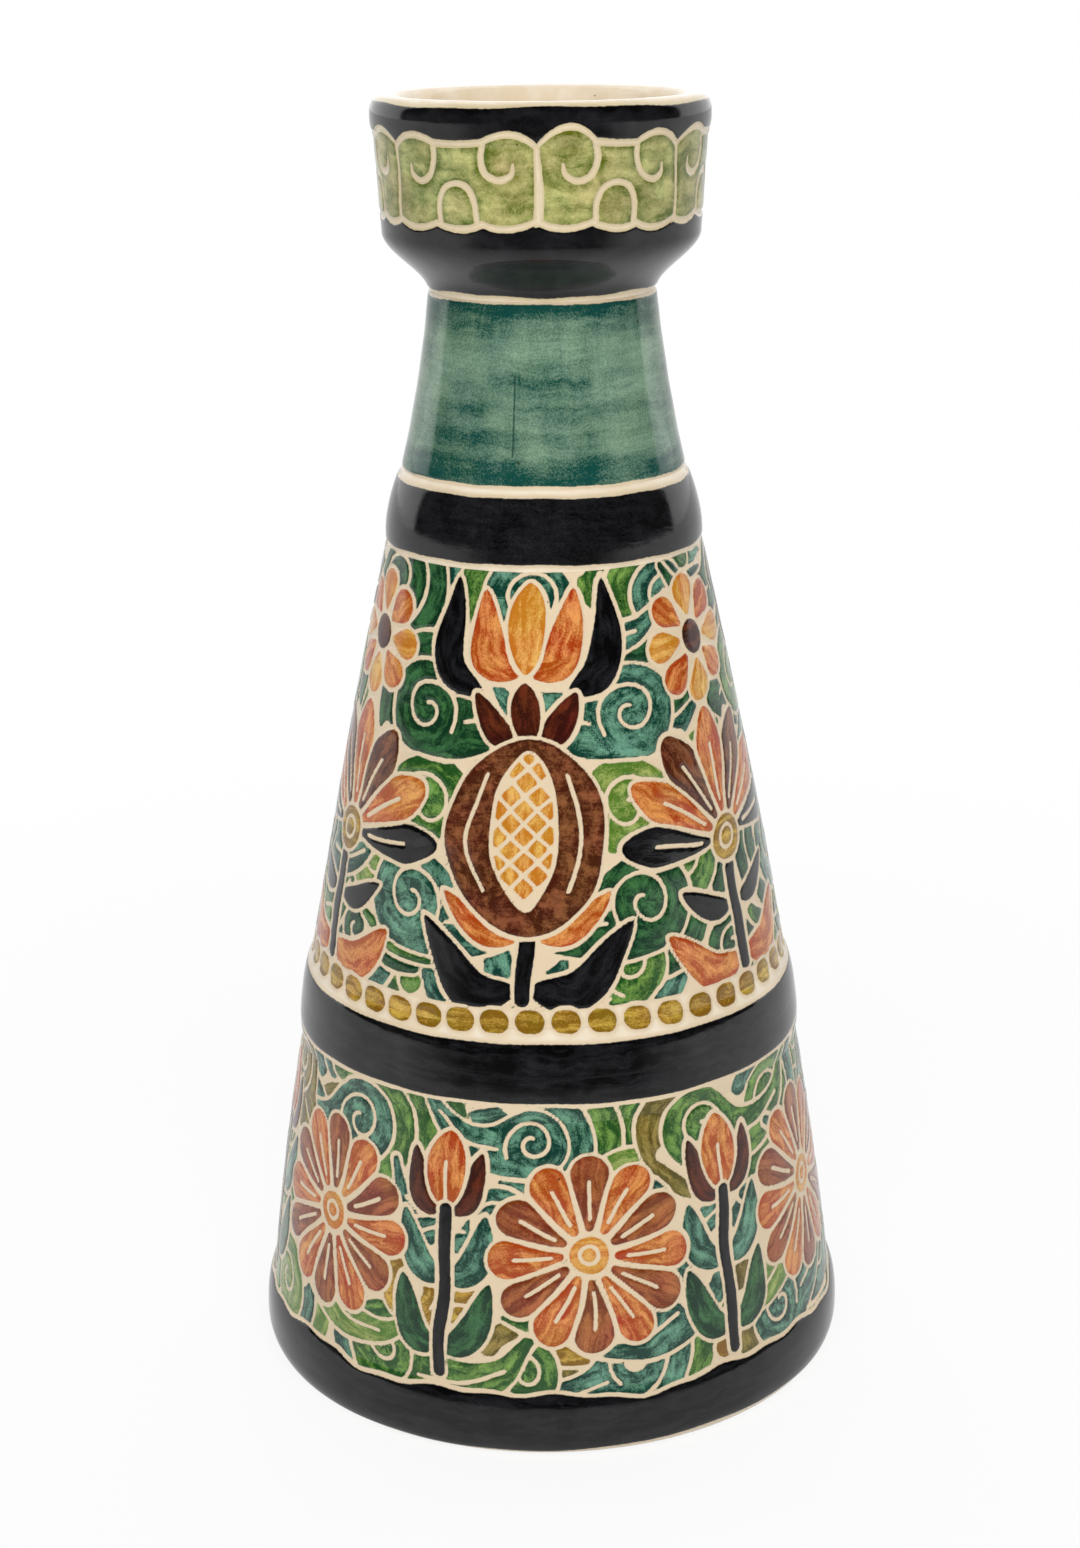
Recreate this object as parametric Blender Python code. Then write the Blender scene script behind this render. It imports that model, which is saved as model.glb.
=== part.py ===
"""Tall earthenware vase that tapers from a wide foot to a cup-shaped mouth.

The body is four thrown sections on a slab floor. Each section drops a spigot into a rebate
in the one below, and applied bands lie in channels cut round the seams. Metres, +Z up, with
the origin on the table under the middle of the vase.
"""
import math

import bmesh
import bpy

# Heights of the stages of the outline, from the table up
BAND_LIFT = 0.0009
FOOT_BAND_HEIGHT = 0.0156
LOWER_WALL_HEIGHT = 0.0630
LOWER_COLLAR_HEIGHT = 0.0217
MIDDLE_WALL_HEIGHT = 0.0994
UPPER_COLLAR_HEIGHT = 0.0174
NECK_HEIGHT = 0.0398
FLARE_HEIGHT = 0.0132
CUP_WALL_HEIGHT = 0.0204
RIM_HEIGHT = 0.0092

# Outside radii at the breaks of the outline
LOWER_FOOT_RADIUS = 0.0697
LOWER_TOP_RADIUS = 0.0604
MIDDLE_FOOT_RADIUS = 0.0572
MIDDLE_TOP_RADIUS = 0.0366
NECK_FOOT_RADIUS = 0.0326
NECK_TOP_RADIUS = 0.0257
CUP_FOOT_RADIUS = 0.0358
CUP_TOP_RADIUS = 0.0370

# How far each stage swells past the straight line between its ends
LOWER_BELLY = 0.00045
MIDDLE_BELLY = 0.0007
NECK_WAIST = -0.0007
LOWER_COLLAR_CROWN = 0.00135
UPPER_COLLAR_CROWN = 0.00115
FOOT_SWELL = 0.0027
RIM_SWELL = 0.0009

# Clay thickness and the shape of the bands, lip and foot
WALL = 0.0060
FLOOR_THICKNESS = 0.0070
FOOT_RING_HEIGHT = 0.0030
FOOT_RING_WIDTH = 0.0090
FOOT_RING_EASE = 0.0006
FOOT_HEEL_WIDTH = 0.0020
FOOT_BULGE_RISE = 0.0051
BOWL_LIFT = 0.0030
BEAD_RISE = 0.0042
LIP_SQUARENESS = 2.6

# Joints between the sections
LUTE_GAP = 0.0003
COLLAR_SEAT_DEPTH = 0.0018
FOOT_SEAT_DEPTH = 0.0022
LAP_DEPTH = 0.0040
FLOOR_STEP = 0.0030
TONGUE_WIDTH = 0.0020
TONGUE_HEIGHT = 0.0020

# Fineness of the turned surfaces
FACETS = 48
WALL_STEPS = 4
CURVE_STEPS = 6
LIP_STEPS = 8
WELD_DISTANCE = 0.000001
CREASE_ANGLE = math.radians(32)

# Levels of the breaks, stacked from the heights
FOOT_TOP = BAND_LIFT + FOOT_BAND_HEIGHT
LOWER_TOP = FOOT_TOP + LOWER_WALL_HEIGHT
MIDDLE_FOOT = LOWER_TOP + LOWER_COLLAR_HEIGHT
MIDDLE_TOP = MIDDLE_FOOT + MIDDLE_WALL_HEIGHT
NECK_FOOT = MIDDLE_TOP + UPPER_COLLAR_HEIGHT
NECK_TOP = NECK_FOOT + NECK_HEIGHT
CUP_BREAK = NECK_TOP + FLARE_HEIGHT
CUP_TOP = CUP_BREAK + CUP_WALL_HEIGHT
RIM_TOP = CUP_TOP + RIM_HEIGHT

# Places that two pieces share: the band seat at the foot, and the seams under the collars
FOOT_SEAT_RADIUS = LOWER_FOOT_RADIUS - FOOT_SEAT_DEPTH
FOOT_BAND_BORE = FOOT_SEAT_RADIUS + LUTE_GAP
FLOOR_UNDERSIDE = FOOT_RING_HEIGHT + LUTE_GAP
FLOOR_TOP = FLOOR_UNDERSIDE + FLOOR_THICKNESS
FLOOR_LEDGE = FLOOR_TOP - FLOOR_STEP
LOWER_BORE_FOOT = LOWER_FOOT_RADIUS - WALL
LOWER_SEAM = (LOWER_TOP + MIDDLE_FOOT) / 2
UPPER_SEAM = (MIDDLE_TOP + NECK_FOOT) / 2
LOWER_SEAM_RADIUS = (LOWER_TOP_RADIUS + MIDDLE_FOOT_RADIUS) / 2
UPPER_SEAM_RADIUS = (MIDDLE_TOP_RADIUS + NECK_FOOT_RADIUS) / 2
TONGUE_RADIUS = CUP_TOP_RADIUS - WALL / 2

# Fired surfaces, with colours as linear red, green and blue
BLACK = {"colour": (0.008, 0.008, 0.008), "roughness": 0.15}
CREAM = {"colour": (0.830, 0.730, 0.540), "roughness": 0.15}
TEAL = {"colour": (0.085, 0.260, 0.180), "roughness": 0.15}
GREEN = {"colour": (0.230, 0.350, 0.100), "roughness": 0.15}
BARE_CLAY = {"colour": (0.560, 0.360, 0.200), "roughness": 0.80}


def clear_scene():
    """Start from an empty scene."""
    for item in list(bpy.data.objects):
        bpy.data.objects.remove(item, do_unlink=True)


def between(start, end, share):
    """The value a given share of the way from start to end."""
    return start + (end - start) * share


def bowed(start, end, crown, steps):
    """Points (radius, height) from start to end, swelling by crown halfway along."""
    points = []
    for step in range(steps + 1):
        share = step / steps
        swell = crown * 4 * share * (1 - share)
        points.append((between(start[0], end[0], share) + swell, between(start[1], end[1], share)))
    return points


def flared(start, end, steps):
    """Points from start to end on an S curve that is upright at both ends."""
    points = []
    for step in range(steps + 1):
        share = step / steps
        eased = share * share * (3 - 2 * share)
        points.append((between(start[0], end[0], eased), between(start[1], end[1], share)))
    return points


def spigot(seam, face_radius, bore_radius):
    """Foot of an upper section, from the bore out to its face: the tube below the seam."""
    lap_radius = (face_radius + bore_radius) / 2 - LUTE_GAP
    return [
        (bore_radius, seam - LAP_DEPTH),
        (lap_radius, seam - LAP_DEPTH),
        (lap_radius, seam + LUTE_GAP),
        (face_radius, seam + LUTE_GAP),
    ]


def rebate(seam, face_radius, bore_radius):
    """Head of a lower section, from its face in to the bore: the step that takes a spigot."""
    lap_radius = (face_radius + bore_radius) / 2
    return [
        (face_radius, seam),
        (lap_radius, seam),
        (lap_radius, seam - LAP_DEPTH - LUTE_GAP),
        (bore_radius, seam - LAP_DEPTH - LUTE_GAP),
    ]


def glaze(name, finish):
    """A fired surface of one colour."""
    material = bpy.data.materials.new(name)
    material.use_nodes = True
    surface = material.node_tree.nodes["Principled BSDF"]
    surface.inputs["Base Color"].default_value = (*finish["colour"], 1.0)
    surface.inputs["Roughness"].default_value = finish["roughness"]
    surface.inputs["Metallic"].default_value = 0.0
    material.diffuse_color = (*finish["colour"], 1.0)
    return material


def turned(name, outline, finish, holder):
    """A solid of revolution about Z from a closed outline of (radius, height) points."""
    shape = bmesh.new()
    verts = [shape.verts.new((radius, 0.0, height)) for radius, height in outline]
    edges = []
    for first, second in zip(verts, verts[1:] + verts[:1]):
        if max(first.co.x, second.co.x) > 0:
            edges.append(shape.edges.new((first, second)))
    bmesh.ops.spin(
        shape,
        geom=verts + edges,
        cent=(0, 0, 0),
        axis=(0, 0, 1),
        angle=math.tau,
        steps=FACETS,
        use_merge=True,
    )
    bmesh.ops.remove_doubles(shape, verts=shape.verts, dist=WELD_DISTANCE)
    bmesh.ops.recalc_face_normals(shape, faces=shape.faces)
    mesh = bpy.data.meshes.new(name)
    shape.to_mesh(mesh)
    shape.free()
    mesh.shade_smooth()
    mesh.set_sharp_from_angle(angle=CREASE_ANGLE)
    mesh.materials.append(glaze(name + "_glaze", finish))
    piece = bpy.data.objects.new(name, mesh)
    piece.parent = holder
    bpy.context.scene.collection.objects.link(piece)
    return piece


def foot_ring_outline():
    """Bare ring that stands on the table, with its lower corners eased."""
    inside = FOOT_SEAT_RADIUS - FOOT_RING_WIDTH
    return [
        (inside + FOOT_RING_EASE, 0.0),
        (FOOT_SEAT_RADIUS - FOOT_RING_EASE, 0.0),
        (FOOT_SEAT_RADIUS, FOOT_RING_EASE),
        (FOOT_SEAT_RADIUS, FOOT_RING_HEIGHT),
        (inside, FOOT_RING_HEIGHT),
        (inside, FOOT_RING_EASE),
    ]


def floor_disc_outline():
    """Slab floor: its rim is a ledge for the lower wall, its middle a pad inside the bore."""
    pad_radius = LOWER_BORE_FOOT - LUTE_GAP
    return [
        (0.0, FLOOR_UNDERSIDE),
        (FOOT_SEAT_RADIUS, FLOOR_UNDERSIDE),
        (FOOT_SEAT_RADIUS, FLOOR_LEDGE),
        (pad_radius, FLOOR_LEDGE),
        (pad_radius, FLOOR_TOP),
        (0.0, FLOOR_TOP),
    ]


def foot_band_outline():
    """Swelling band round the foot: a quarter ellipse at the heel, then an easy S curve."""
    top = FOOT_TOP - LUTE_GAP
    bulge_radius = LOWER_FOOT_RADIUS + FOOT_SWELL
    bulge_level = BAND_LIFT + FOOT_BULGE_RISE
    heel = []
    for step in range(CURVE_STEPS):
        angle = math.pi / 2 * step / CURVE_STEPS
        radius = between(FOOT_BAND_BORE + FOOT_HEEL_WIDTH, bulge_radius, math.sin(angle))
        heel.append((radius, between(bulge_level, BAND_LIFT, math.cos(angle))))
    shoulder = flared((bulge_radius, bulge_level), (LOWER_FOOT_RADIUS, top), CURVE_STEPS)
    return [(FOOT_BAND_BORE, BAND_LIFT)] + heel + shoulder + [(FOOT_BAND_BORE, top)]


def lower_wall_outline():
    """Thrown cone between the foot band and the lower collar, open at both ends."""
    face = bowed((LOWER_FOOT_RADIUS, FOOT_TOP), (LOWER_TOP_RADIUS, LOWER_TOP), LOWER_BELLY, WALL_STEPS)
    foot_level = FLOOR_LEDGE + LUTE_GAP
    return [
        (LOWER_BORE_FOOT, foot_level),
        (FOOT_SEAT_RADIUS, foot_level),
        (FOOT_SEAT_RADIUS, FOOT_TOP),
        *face,
        (LOWER_TOP_RADIUS - COLLAR_SEAT_DEPTH, LOWER_TOP),
        *rebate(LOWER_SEAM, LOWER_SEAM_RADIUS - COLLAR_SEAT_DEPTH, LOWER_SEAM_RADIUS - WALL),
        (LOWER_TOP_RADIUS - WALL, LOWER_TOP),
        (LOWER_BORE_FOOT, FOOT_TOP),
    ]


def middle_wall_outline():
    """Thrown cone between the two collars, open at both ends."""
    face = bowed((MIDDLE_FOOT_RADIUS, MIDDLE_FOOT), (MIDDLE_TOP_RADIUS, MIDDLE_TOP), MIDDLE_BELLY, WALL_STEPS)
    return [
        *spigot(LOWER_SEAM, LOWER_SEAM_RADIUS - COLLAR_SEAT_DEPTH, LOWER_SEAM_RADIUS - WALL),
        (MIDDLE_FOOT_RADIUS - COLLAR_SEAT_DEPTH, MIDDLE_FOOT),
        *face,
        (MIDDLE_TOP_RADIUS - COLLAR_SEAT_DEPTH, MIDDLE_TOP),
        *rebate(UPPER_SEAM, UPPER_SEAM_RADIUS - COLLAR_SEAT_DEPTH, UPPER_SEAM_RADIUS - WALL),
        (MIDDLE_TOP_RADIUS - WALL, MIDDLE_TOP),
        (MIDDLE_FOOT_RADIUS - WALL, MIDDLE_FOOT),
    ]


def neck_outline():
    """Thrown neck between the upper collar and the cup, slightly waisted."""
    face = bowed((NECK_FOOT_RADIUS, NECK_FOOT), (NECK_TOP_RADIUS, NECK_TOP), NECK_WAIST, CURVE_STEPS)
    return [
        *spigot(UPPER_SEAM, UPPER_SEAM_RADIUS - COLLAR_SEAT_DEPTH, UPPER_SEAM_RADIUS - WALL),
        (NECK_FOOT_RADIUS - COLLAR_SEAT_DEPTH, NECK_FOOT),
        *face[:-1],
        *rebate(NECK_TOP, NECK_TOP_RADIUS, NECK_TOP_RADIUS - WALL),
        (NECK_FOOT_RADIUS - WALL, NECK_FOOT),
    ]


def collar_outline(foot, foot_radius, top, top_radius, crown):
    """Applied band that fills the channel round a seam and swells proud of the walls."""
    low = foot + LUTE_GAP
    high = top - LUTE_GAP
    inset = COLLAR_SEAT_DEPTH - LUTE_GAP
    face = bowed((foot_radius, low), (top_radius, high), crown, CURVE_STEPS)
    return [(foot_radius - inset, low), *face, (top_radius - inset, high)]


def cup_outline():
    """Bowl that flares from the neck to a nearly upright wall, with a tongue on its edge."""
    bore_radius = NECK_TOP_RADIUS - WALL
    foot = spigot(NECK_TOP, NECK_TOP_RADIUS, bore_radius)
    outside = flared((NECK_TOP_RADIUS, NECK_TOP + LUTE_GAP), (CUP_FOOT_RADIUS, CUP_BREAK), CURVE_STEPS)
    inside = flared(
        (bore_radius, NECK_TOP + BOWL_LIFT),
        (CUP_FOOT_RADIUS - WALL, CUP_BREAK + BOWL_LIFT),
        CURVE_STEPS,
    )
    tongue_top = CUP_TOP + TONGUE_HEIGHT
    return [
        *foot[:-1],
        *outside,
        (CUP_TOP_RADIUS, CUP_TOP),
        (TONGUE_RADIUS + TONGUE_WIDTH / 2, CUP_TOP),
        (TONGUE_RADIUS + TONGUE_WIDTH / 2, tongue_top),
        (TONGUE_RADIUS - TONGUE_WIDTH / 2, tongue_top),
        (TONGUE_RADIUS - TONGUE_WIDTH / 2, CUP_TOP),
        (CUP_TOP_RADIUS - WALL, CUP_TOP),
        *reversed(inside),
    ]


def rim_roll_outline():
    """Coil on the cup's edge: a bead outside, a rounded lip, and a groove for the tongue."""
    underside = CUP_TOP + LUTE_GAP
    bead_level = CUP_TOP + BEAD_RISE
    inner_radius = CUP_TOP_RADIUS - WALL
    bead_radius = CUP_TOP_RADIUS + RIM_SWELL
    lip_middle = (bead_radius + inner_radius) / 2
    lip_half = (bead_radius - inner_radius) / 2
    bead = []
    for step in range(CURVE_STEPS):
        angle = math.pi / 2 * step / CURVE_STEPS
        radius = between(CUP_TOP_RADIUS, bead_radius, math.sin(angle))
        bead.append((radius, between(underside, bead_level, step / CURVE_STEPS)))
    lip = []
    for step in range(LIP_STEPS + 1):
        angle = math.pi * step / LIP_STEPS
        across = math.copysign(abs(math.cos(angle)) ** (2 / LIP_SQUARENESS), math.cos(angle))
        upward = math.sin(angle) ** (2 / LIP_SQUARENESS) if 0 < step < LIP_STEPS else 0.0
        lip.append((lip_middle + lip_half * across, between(bead_level, RIM_TOP, upward)))
    groove_half = TONGUE_WIDTH / 2 + LUTE_GAP
    groove_top = CUP_TOP + TONGUE_HEIGHT + LUTE_GAP
    groove = [
        (inner_radius, underside),
        (TONGUE_RADIUS - groove_half, underside),
        (TONGUE_RADIUS - groove_half, groove_top),
        (TONGUE_RADIUS + groove_half, groove_top),
        (TONGUE_RADIUS + groove_half, underside),
    ]
    return bead + lip + groove


def build_vase():
    """Turn every piece and hang it on one empty at the origin."""
    holder = bpy.data.objects.new("vase", None)
    bpy.context.scene.collection.objects.link(holder)
    lower_collar = collar_outline(
        LOWER_TOP, LOWER_TOP_RADIUS, MIDDLE_FOOT, MIDDLE_FOOT_RADIUS, LOWER_COLLAR_CROWN
    )
    upper_collar = collar_outline(
        MIDDLE_TOP, MIDDLE_TOP_RADIUS, NECK_FOOT, NECK_FOOT_RADIUS, UPPER_COLLAR_CROWN
    )
    turned("foot_ring", foot_ring_outline(), BARE_CLAY, holder)
    turned("floor_disc", floor_disc_outline(), CREAM, holder)
    turned("foot_band", foot_band_outline(), BLACK, holder)
    turned("lower_wall", lower_wall_outline(), CREAM, holder)
    turned("lower_collar", lower_collar, BLACK, holder)
    turned("middle_wall", middle_wall_outline(), CREAM, holder)
    turned("upper_collar", upper_collar, BLACK, holder)
    turned("neck", neck_outline(), TEAL, holder)
    turned("cup", cup_outline(), GREEN, holder)
    turned("rim_roll", rim_roll_outline(), BLACK, holder)


clear_scene()
build_vase()
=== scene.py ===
import math
import bpy
import numpy as np
from mathutils import Matrix, Vector


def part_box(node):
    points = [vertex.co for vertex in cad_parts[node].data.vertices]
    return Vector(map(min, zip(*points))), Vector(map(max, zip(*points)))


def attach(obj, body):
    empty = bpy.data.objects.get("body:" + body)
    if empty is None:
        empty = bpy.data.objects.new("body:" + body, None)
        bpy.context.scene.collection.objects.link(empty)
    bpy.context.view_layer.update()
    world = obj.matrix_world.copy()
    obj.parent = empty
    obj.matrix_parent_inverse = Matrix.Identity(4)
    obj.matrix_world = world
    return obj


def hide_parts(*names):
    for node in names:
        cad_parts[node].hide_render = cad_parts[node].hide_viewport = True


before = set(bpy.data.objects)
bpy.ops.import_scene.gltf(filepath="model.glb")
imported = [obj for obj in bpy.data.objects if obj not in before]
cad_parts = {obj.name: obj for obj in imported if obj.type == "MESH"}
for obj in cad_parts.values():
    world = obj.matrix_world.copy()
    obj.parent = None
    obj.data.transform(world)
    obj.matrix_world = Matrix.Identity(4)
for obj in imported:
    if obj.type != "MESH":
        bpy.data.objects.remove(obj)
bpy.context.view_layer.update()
mm = 0.001  # the script works in millimetres and meshes are in metres
tau = 2 * math.pi


# Levels of the outline, read from the CAD nodes
def nodeSpan(node):  # lowest and highest level of a CAD node
    low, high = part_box(node)
    return low.z / mm, high.z / mm


lute = 0.3  # clay slip between two sections
lap = 0.02  # keeps the rows at a seam apart
tuck = 0.25  # how far a collar reaches in past its own edge
bandFoot = nodeSpan("foot_band")[0]
footTop = nodeSpan("foot_band")[1] + lute
lowerTop = nodeSpan("lower_collar")[0] - lute
middleFoot = nodeSpan("lower_collar")[1] + lute
middleTop = nodeSpan("upper_collar")[0] - lute
neckFoot = nodeSpan("upper_collar")[1] + lute
neckTop = nodeSpan("neck")[1]
cupTop = nodeSpan("rim_roll")[0] - lute
rimTop = nodeSpan("rim_roll")[1]
floorLedge = nodeSpan("lower_wall")[0]
lowerSeam = (lowerTop + middleFoot) / 2
upperSeam = (middleTop + neckFoot) / 2

# Outside radii of the breaks and how far each stage swells between them
outline = dict(
    heel=69.8, bulge=71.9, bulgeRise=5.1, shoulder=2.5, lowerFoot=69.7, lowerTop=60.4, middleFoot=57.2,
    middleTop=36.6, neckFoot=32.6, neckTop=25.7, cupFoot=35.8, cupTop=37.0, rim=37.9, flareRise=13.2,
    beadRise=4.2, lowerBelly=0.45, middleBelly=0.7, neckWaist=-0.7, lowerCrown=1.35, upperCrown=1.15,
    crownPower=2.6, wall=6.0, collarSeat=1.8, footSeat=2.2, bowlLift=3.0, lipSquareness=2.6,
)
outline["lowerSeam"] = (outline["lowerTop"] + outline["middleFoot"]) / 2
outline["upperSeam"] = (outline["middleTop"] + outline["neckFoot"]) / 2
wall = outline["wall"]
seat = outline["collarSeat"]
footSeat = outline["lowerFoot"] - outline["footSeat"]
cupBreak = neckTop + outline["flareRise"]
cupRadius = (outline["cupFoot"] + outline["cupTop"]) / 2


def bowed(z, low, high, lowRadius, highRadius, swell=0.0, power=2.0):
    # straight line between two radii plus a swell of 1 - |2t - 1|^power
    t = np.clip((z - low) / (high - low), 0, 1)
    return lowRadius + (highRadius - lowRadius) * t + swell * (1 - np.abs(2 * t - 1) ** power)


def eased(z, low, high, lowValue, highValue):
    # S curve 3t^2 - 2t^3 between two values
    t = np.clip((z - low) / (high - low), 0, 1)
    return lowValue + (highValue - lowValue) * t * t * (3 - 2 * t)


def ripples(waves, u, v=0.0, shift=1.0):
    # sum of sine waves; each has a height, its angle per step of u and of v, and a start that shift scales
    return sum(rise * np.sin(perU * u + perV * v + start * shift) for rise, perU, perV, start in waves)


# a quarter of a millimetre at most: slow waves round and up the vase, and faint rings from the wheel
handWaves = ((0.09, 2, 0.031, 0.4), (0.06, 3, -0.05, 1.7), (0.035, 5, 0.11, 0))
wheelRings = dict(rise=0.03, perLevel=0.55, sway=1.3)


def handWobble(theta, z):
    # the slow waves plus a sine of the level, whose start sways with the sine of the turn
    rings = wheelRings["perLevel"] * z + wheelRings["sway"] * np.sin(theta)
    return ripples(handWaves, theta, z) + wheelRings["rise"] * np.sin(rings)


# Colour and node helpers
def toLinear(code):  # sRGB hex to linear red, green, blue
    values = np.array([int(code[i : i + 2], 16) for i in (1, 3, 5)]) / 255
    return np.where(values <= 0.04045, values / 12.92, ((values + 0.055) / 1.055) ** 2.4)


def rgba(code):  # the same with full alpha
    return (*toLinear(code), 1.0)


def perMetre(size):  # pattern scale for a feature of so many millimetres
    return 1 / (size * mm)


def put(tree, kind, inputs=None, out=0, **settings):
    # one shader node with its settings; an input is a value or the socket that feeds it, and out is the
    # output that comes back
    node = tree.nodes.new("ShaderNode" + kind)
    for key, value in settings.items():
        setattr(node, key, value)
    for key, value in (inputs or {}).items():
        if isinstance(value, bpy.types.NodeSocket):
            tree.links.new(value, node.inputs[key])
        else:
            node.inputs[key].default_value = value
    return node if out is None else node.outputs[out]


# Flat drawing: every cell is a brush stroke on the unrolled cone, in millimetres
# each slip has the colour of a thin coat and of a thick one
pigments = dict(
    brown=("#925837", "#471D0C"), umber=("#6A2F18", "#36140A"), orange=("#EBA35A", "#A9450F"),
    amber=("#EFC06A", "#C4781F"), ochre=("#DDB650", "#835F12"), black=("#212124", "#020203"),
    teal=("#72A68A", "#0C3A2E"), pine=("#437746", "#0E331E"), leaf=("#80A850", "#214F1E"),
    lime=("#A9B767", "#527829"), olive=("#A6934B", "#574B15"), spring=("#CFC884", "#566412"),
    sea=("#8EAC90", "#10483F"), mark=("#2A4F45", "#1B3B33"), russet=("#B86F3E", "#743013"),
    cream=("#F1E4C8", "#E6D5AF"),
)
pigmentNames = list(pigments)

bareEdge, untaken = -9.0, -40.0  # an edge value far from any slip, and a place that no cell has taken

# half width of a stroke along its way from 0 to 1
profiles = dict(
    even=lambda t: np.ones_like(t),
    leaf=lambda t: np.sin(np.pi * t) ** 0.75,
    petal=lambda t: 0.22 + 0.78 * t,
    lance=lambda t: np.minimum(0.2 + 1.15 * t, 1) * np.sqrt(np.clip((1 - t) / 0.34, 0, 1)),
    fruit=lambda t: 0.80 + 0.20 * np.sin(np.pi * t),
    comma=lambda t: 0.10 + 0.90 * (1 - t) ** 1.25,
)
# width of a scratched line, how far a cell is felt, half of an inner line, how scrubbing shortens strokes,
# the step from one cell's brush marks to the next one's, and brush travel for a turn outside and inside
drawing = dict(line=0.95, reach=4.0, vein=0.47, scrub=(3.5, 0.7), cellStep=7.3, outside=45, inside=40)
lineWaves = ((0.13, 5, 0.21, 0), (0.08, 23, -0.33, 0))  # how the width of a line shakes, over turn and slant
driftWaves = ((0.45, 0, 0.16, 3), (0.25, 0.2, 0.31, 1))  # how the hand wavers sideways, over flat x and y
liftWaves = ((0.40, 0.14, 0, 5), (0.22, 0.27, -0.23, 0))  # and upwards


def smoothPath(points, count=28):
    # smooth cubic through a few points, which passes each one along the line between its neighbours
    p = np.asarray(points, float)
    q = np.vstack([2 * p[0] - p[1], p, 2 * p[-1] - p[-2]])
    t = np.linspace(0, len(p) - 1, count)
    k = np.minimum(t.astype(int), len(p) - 2)
    f = (t - k)[:, None]
    a, b, c, d = q[k], q[k + 1], q[k + 2], q[k + 3]
    return 0.5 * (2 * b + (c - a) * f + (2 * a - 5 * b + 4 * c - d) * f**2 + (3 * b - a - 3 * c + d) * f**3)


def spiralPath(centre, big, small, start, turns, count):
    # spiral whose radius shrinks from big to small while it turns, from a start in degrees
    t = np.linspace(0, 1, count)
    r = big + (small - big) * t**0.85
    angle = math.radians(start) + tau * turns * t
    return np.column_stack([centre[0] + r * np.cos(angle), centre[1] + r * np.sin(angle)])


def newCanvas(theta, slant, length, lowRadius, highRadius):
    # unrolled cone: slant runs up from its lower edge, and rho is the distance from the apex
    count = theta.size
    sine = (lowRadius - highRadius) / length
    return dict(
        theta=theta, slant=slant, sine=sine, rho=lowRadius / sine - slant, rhoFoot=lowRadius / sine,
        edge=np.full(count, bareEdge), first=np.full(count, untaken), cells=0,
        line=drawing["line"] + ripples(lineWaves, theta, slant),
        pigment=np.full(count, pigmentNames.index("cream")), brush=np.zeros((count, 3)),
    )


def flatFrame(canvas, turn):
    # flat x and y of every point, square to the cone at the angle turn, with a slow waver of the hand
    away = np.mod(canvas["theta"] - turn + math.pi, tau) - math.pi
    bend = away * canvas["sine"]
    x = canvas["rho"] * np.sin(bend)
    y = canvas["rhoFoot"] - canvas["rho"] * np.cos(bend)
    return x + ripples(driftWaves, x, y, turn), y + ripples(liftWaves, x, y, turn)


def pathInside(x, y, path, half):
    # half width less distance, at its largest over the pieces of a path, with the way along it and the offset
    inside = np.full(x.size, -1e6)
    along = np.zeros(x.size)
    across = np.zeros(x.size)
    travel = 0.0
    for (ax, ay), (bx, by), first, last in zip(path[:-1], path[1:], half[:-1], half[1:]):
        sx, sy = bx - ax, by - ay
        length = math.hypot(sx, sy) + 1e-9
        t = np.clip(((x - ax) * sx + (y - ay) * sy) / length**2, 0, 1)
        dx, dy = x - ax - t * sx, y - ay - t * sy
        value = first + (last - first) * t - np.hypot(dx, dy)
        better = value > inside
        inside = np.where(better, value, inside)
        along = np.where(better, travel + t * length, along)
        across = np.where(better, (dy * sx - dx * sy) / length, across)
        travel += length
    return inside, along, across


def takeCell(canvas, near, inside, own, pigment, along, across):
    # a cell keeps what no earlier cell, with a scratched line round it, has taken
    value = np.minimum(own, -canvas["first"][near] - canvas["line"][near])
    better = value > canvas["edge"][near]
    chosen = near[better]
    strokes = np.column_stack([along, across, np.full(near.size, drawing["cellStep"] * canvas["cells"])])
    canvas["edge"][chosen] = value[better]
    canvas["pigment"][chosen] = pigmentNames.index(pigment)
    canvas["brush"][chosen] = strokes[better]
    canvas["first"][near] = np.maximum(canvas["first"][near], inside)
    canvas["cells"] += 1


def takeAll(canvas, inside, pigment):
    # a cell that may cover the whole surface, brushed round it
    travel = canvas["theta"] * drawing["outside"]
    takeCell(canvas, np.arange(inside.size), inside, inside, pigment, travel, canvas["slant"])


def layStroke(canvas, flat, points, width, pigment, profile="leaf", veins=(), swirl=None):
    # a stroke is a smooth path whose half width follows a profile; veins are scratched lines inside it,
    # and round the point swirl the brush went in circles
    path = smoothPath(points)
    half = width * profiles[profile](np.linspace(0, 1, len(path)))
    low = path.min(0) - width - drawing["reach"]
    high = path.max(0) + width + drawing["reach"]
    beside = (flat[0] > low[0]) & (flat[0] < high[0])
    near = np.flatnonzero(beside & (flat[1] > low[1]) & (flat[1] < high[1]))
    x, y = flat[0][near], flat[1][near]
    inside, along, across = pathInside(x, y, path, half)
    own = inside
    if profile == "fruit":  # a broad cell is scrubbed up and down in short strokes
        along, across = y * drawing["scrub"][0], x * drawing["scrub"][1]
    for line in veins:
        own = np.minimum(own, -pathInside(x, y, line, np.full(len(line), drawing["vein"]))[0])
    if swirl:
        away = np.hypot(x - swirl[0], y - swirl[1])
        around = width * np.arctan2(y - swirl[1], x - swirl[0])
        along = np.where(away < width, around, along)
        across = np.where(away < width, away, across)
    takeCell(canvas, near, inside, own, pigment, along, across)


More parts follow.
